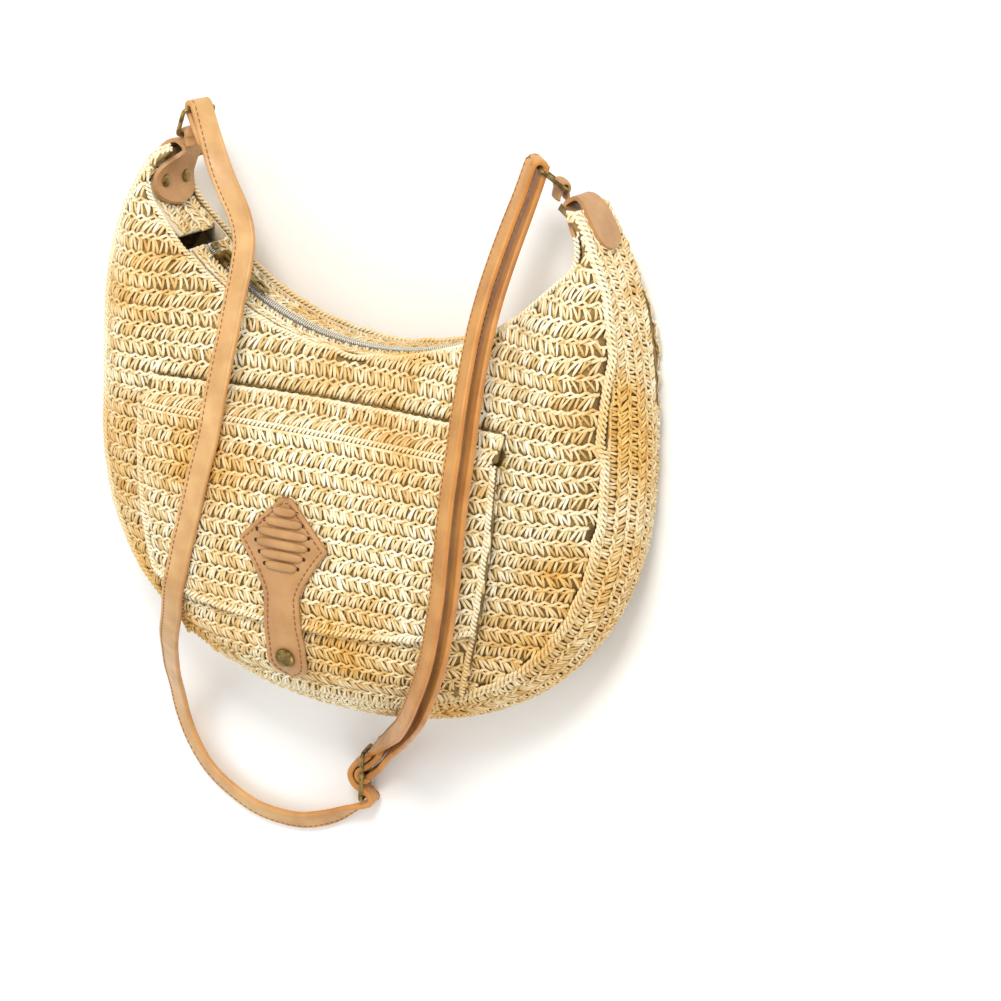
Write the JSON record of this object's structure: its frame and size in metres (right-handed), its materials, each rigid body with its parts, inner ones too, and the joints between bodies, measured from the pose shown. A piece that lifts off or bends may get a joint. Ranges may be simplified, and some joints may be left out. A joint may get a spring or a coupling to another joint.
{
  "type": "hobo shoulder bag",
  "caption": "Crescent hobo bag of crocheted straw with a flap pocket, leather closing tab, zip mouth and adjustable leather strap, lying on its back.",
  "frame": {"origin": "on the flat of the back panel, under the middle of the bag's box taken without its strap and buckle", "axes": "+X towards the bag's own right end as its front is looked at, +Y from its bottom towards its mouth, +Z out of its front; the bag lies on its back"},
  "size_m": [0.3136, 0.4172, 0.1259],
  "materials": {
    "straw": "crocheted paper straw, matt with bright strands",
    "lining_cloth": "plain woven cotton",
    "zip_tape": "woven tape",
    "zip_coil": "nylon coil",
    "leather": "smooth tan, satin, stitched",
    "brass": "antiqued, worn bright on edges"
  },
  "bodies": {
    "bag": {"front_panel": "straw", "gusset": "straw", "back_panel": "straw", "pocket": "straw", "flap_fold": "straw", "left_horn_facing": "straw", "right_horn_facing": "straw", "lining": "lining_cloth", "zip_tape_front": "zip_tape", "zip_tape_back": "zip_tape", "zip_coil_front": "zip_coil", "zip_coil_back": "zip_coil", "left_horn_tab": "leather", "right_horn_tab": "leather", "snap_stud": "brass", "zip_stop_left": "brass", "zip_stop_right": "brass", "left_rivet_front": "brass", "left_rivet_back": "brass", "right_rivet_front": "brass", "right_rivet_back": "brass"},
    "strap": {"strap": "leather", "strap_buckle": "brass", "left_ring": "brass", "right_ring": "brass", "left_tab_loop": "leather", "right_tab_loop": "leather"},
    "flap": {"flap": "straw", "closing_tab": "leather", "tab_lacing": "leather", "snap_cap": "brass", "snap_socket": "brass"},
    "zip_slider": {"zip_slider": "brass"},
    "zip_pull": {"zip_pull": "brass"}
  },
  "joints": [
    {"name": "strap_swing", "type": "hinge", "parent": "bag", "child": "strap", "pos_m": [0.0008, 0.1442, 0.0445], "axis": [-1, 0, 0], "range_deg": [0, 90]},
    {"name": "flap_hinge", "type": "hinge", "parent": "bag", "child": "flap", "pos_m": [-0.0052, 0.0057, 0.097], "axis": [-1, 0, 0], "range_deg": [0, 140], "deforming": ["flap_fold"]},
    {"name": "zip_slide", "type": "hinge", "parent": "bag", "child": "zip_slider", "pos_m": [-0.0032, 0.1927, 0.039], "axis": [0, 0, 1], "range_deg": [0, 68]},
    {"name": "zip_pull_swing", "type": "hinge", "parent": "zip_slider", "child": "zip_pull", "pos_m": [-0.09573, 0.07925, 0.039], "axis": [0, 0, 1], "range_deg": [0, 110]}
  ],
  "couplings": [
    {"joint": "flap_hinge", "follows": "strap_swing", "ratio": 1.55}
  ]
}
